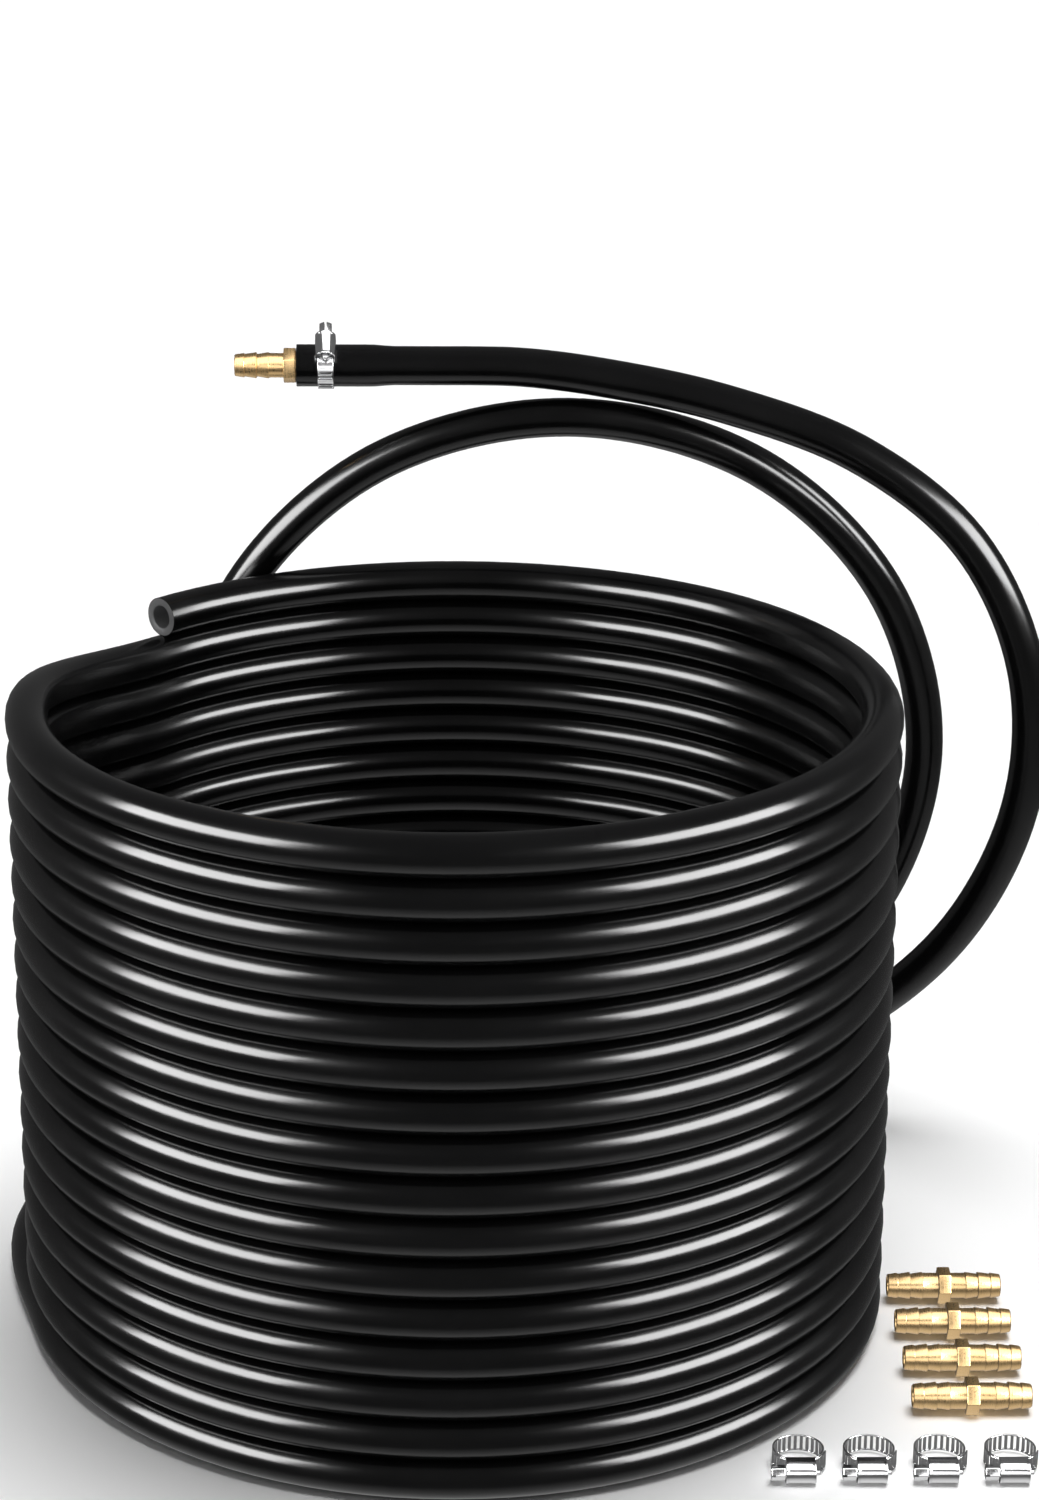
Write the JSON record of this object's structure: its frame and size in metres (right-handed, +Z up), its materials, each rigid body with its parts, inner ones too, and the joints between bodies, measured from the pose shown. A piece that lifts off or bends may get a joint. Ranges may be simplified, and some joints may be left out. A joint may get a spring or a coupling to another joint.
{
  "type": "soaker hose",
  "caption": "Coiled black irrigation hose with a barbed brass splicer clamped in its free end, and spare splicers and worm-drive clamps lying beside the coil",
  "frame": {"origin": "middle of the whole set's box, on the floor it stands on", "axes": "+Z up along the coil's axis, +X to the viewer's right with the fitted end pointing along -X, +Y away from the viewer"},
  "size_m": [0.4201, 0.3807, 0.3618],
  "materials": {
    "black_hose": "smooth glossy extruded black",
    "brass": "turned bright brass",
    "stainless_steel": "bright pressed stainless steel"
  },
  "bodies": {
    "hose": {"hose_coil": "black_hose", "hose_open_end": "black_hose", "hose_tail": "black_hose", "hose_fitted_end": "black_hose"},
    "fitted_splicer": {"fitted_splicer": "brass"},
    "fitted_clamp": {"fitted_clamp_band": "stainless_steel", "fitted_clamp_housing": "stainless_steel"},
    "fitted_clamp_screw": {"fitted_clamp_screw": "stainless_steel"},
    "fitted_clamp_strap": {"fitted_clamp_strap": "stainless_steel"},
    "spare_clamp_1": {"spare_clamp_1_band": "stainless_steel", "spare_clamp_1_housing": "stainless_steel"},
    "spare_clamp_1_screw": {"spare_clamp_1_screw": "stainless_steel"},
    "spare_clamp_1_strap": {"spare_clamp_1_strap": "stainless_steel"},
    "spare_clamp_2": {"spare_clamp_2_band": "stainless_steel", "spare_clamp_2_housing": "stainless_steel"},
    "spare_clamp_2_screw": {"spare_clamp_2_screw": "stainless_steel"},
    "spare_clamp_2_strap": {"spare_clamp_2_strap": "stainless_steel"},
    "spare_clamp_3": {"spare_clamp_3_band": "stainless_steel", "spare_clamp_3_housing": "stainless_steel"},
    "spare_clamp_3_screw": {"spare_clamp_3_screw": "stainless_steel"},
    "spare_clamp_3_strap": {"spare_clamp_3_strap": "stainless_steel"},
    "spare_clamp_4": {"spare_clamp_4_band": "stainless_steel", "spare_clamp_4_housing": "stainless_steel"},
    "spare_clamp_4_screw": {"spare_clamp_4_screw": "stainless_steel"},
    "spare_clamp_4_strap": {"spare_clamp_4_strap": "stainless_steel"},
    "spare_splicer_1": {"spare_splicer_1": "brass"},
    "spare_splicer_2": {"spare_splicer_2": "brass"},
    "spare_splicer_3": {"spare_splicer_3": "brass"},
    "spare_splicer_4": {"spare_splicer_4": "brass"}
  },
  "joints": [
    {"name": "fitted_splicer_pull", "type": "slide", "parent": "hose", "child": "fitted_splicer", "axis": [-1, 0, 0], "range_m": [0, 0.024]},
    {"name": "fitted_clamp_slide", "type": "slide", "parent": "hose", "child": "fitted_clamp", "axis": [1, 0, 0], "range_m": [-0.005, 0.03]},
    {"name": "fitted_clamp_screw_turn", "type": "hinge", "parent": "fitted_clamp", "child": "fitted_clamp_screw", "pos_m": [-0.0908, 0.12121, 0.35288], "axis": [0, -0.766, -0.6428], "range_deg": [-720, 180]},
    {"name": "fitted_clamp_strap_feed", "type": "hinge", "parent": "fitted_clamp", "child": "fitted_clamp_strap", "pos_m": [-0.0908, 0.1295, 0.343], "axis": [1, 0, 0], "range_deg": [-8, 30]},
    {"name": "spare_clamp_1_lift", "type": "slide", "parent": "hose", "child": "spare_clamp_1", "axis": [0, 0, 1], "range_m": [0, 0.38]},
    {"name": "spare_clamp_1_screw_turn", "type": "hinge", "parent": "spare_clamp_1", "child": "spare_clamp_1_screw", "pos_m": [0.0882, -0.1734, 0.0042], "axis": [1, 0, 0], "range_deg": [-720, 180]},
    {"name": "spare_clamp_1_strap_feed", "type": "hinge", "parent": "spare_clamp_1", "child": "spare_clamp_1_strap", "pos_m": [0.0882, -0.1605, 0.0042], "axis": [0, 0, 1], "range_deg": [-8, 30]},
    {"name": "spare_clamp_2_lift", "type": "slide", "parent": "hose", "child": "spare_clamp_2", "axis": [0, 0, 1], "range_m": [0, 0.38]},
    {"name": "spare_clamp_2_screw_turn", "type": "hinge", "parent": "spare_clamp_2", "child": "spare_clamp_2_screw", "pos_m": [0.1142, -0.1734, 0.0042], "axis": [1, 0, 0], "range_deg": [-720, 180]},
    {"name": "spare_clamp_2_strap_feed", "type": "hinge", "parent": "spare_clamp_2", "child": "spare_clamp_2_strap", "pos_m": [0.1142, -0.1605, 0.0042], "axis": [0, 0, 1], "range_deg": [-8, 30]},
    {"name": "spare_clamp_3_lift", "type": "slide", "parent": "hose", "child": "spare_clamp_3", "axis": [0, 0, 1], "range_m": [0, 0.38]},
    {"name": "spare_clamp_3_screw_turn", "type": "hinge", "parent": "spare_clamp_3", "child": "spare_clamp_3_screw", "pos_m": [0.1402, -0.1734, 0.0042], "axis": [1, 0, 0], "range_deg": [-720, 180]},
    {"name": "spare_clamp_3_strap_feed", "type": "hinge", "parent": "spare_clamp_3", "child": "spare_clamp_3_strap", "pos_m": [0.1402, -0.1605, 0.0042], "axis": [0, 0, 1], "range_deg": [-8, 30]},
    {"name": "spare_clamp_4_lift", "type": "slide", "parent": "hose", "child": "spare_clamp_4", "axis": [0, 0, 1], "range_m": [0, 0.38]},
    {"name": "spare_clamp_4_screw_turn", "type": "hinge", "parent": "spare_clamp_4", "child": "spare_clamp_4_screw", "pos_m": [0.1662, -0.1734, 0.0042], "axis": [1, 0, 0], "range_deg": [-720, 180]},
    {"name": "spare_clamp_4_strap_feed", "type": "hinge", "parent": "spare_clamp_4", "child": "spare_clamp_4_strap", "pos_m": [0.1662, -0.1605, 0.0042], "axis": [0, 0, 1], "range_deg": [-8, 30]},
    {"name": "spare_splicer_1_lift", "type": "slide", "parent": "hose", "child": "spare_splicer_1", "axis": [0, 0, 1], "range_m": [0, 0.38]},
    {"name": "spare_splicer_2_lift", "type": "slide", "parent": "hose", "child": "spare_splicer_2", "axis": [0, 0, 1], "range_m": [0, 0.38]},
    {"name": "spare_splicer_3_lift", "type": "slide", "parent": "hose", "child": "spare_splicer_3", "axis": [0, 0, 1], "range_m": [0, 0.38]},
    {"name": "spare_splicer_4_lift", "type": "slide", "parent": "hose", "child": "spare_splicer_4", "axis": [0, 0, 1], "range_m": [0, 0.38]}
  ],
  "couplings": [
    {"joint": "fitted_clamp_strap_feed", "follows": "fitted_clamp_screw_turn", "ratio": -0.0378},
    {"joint": "spare_clamp_1_strap_feed", "follows": "spare_clamp_1_screw_turn", "ratio": -0.0378},
    {"joint": "spare_clamp_2_strap_feed", "follows": "spare_clamp_2_screw_turn", "ratio": -0.0378},
    {"joint": "spare_clamp_3_strap_feed", "follows": "spare_clamp_3_screw_turn", "ratio": -0.0378},
    {"joint": "spare_clamp_4_strap_feed", "follows": "spare_clamp_4_screw_turn", "ratio": -0.0378}
  ]
}
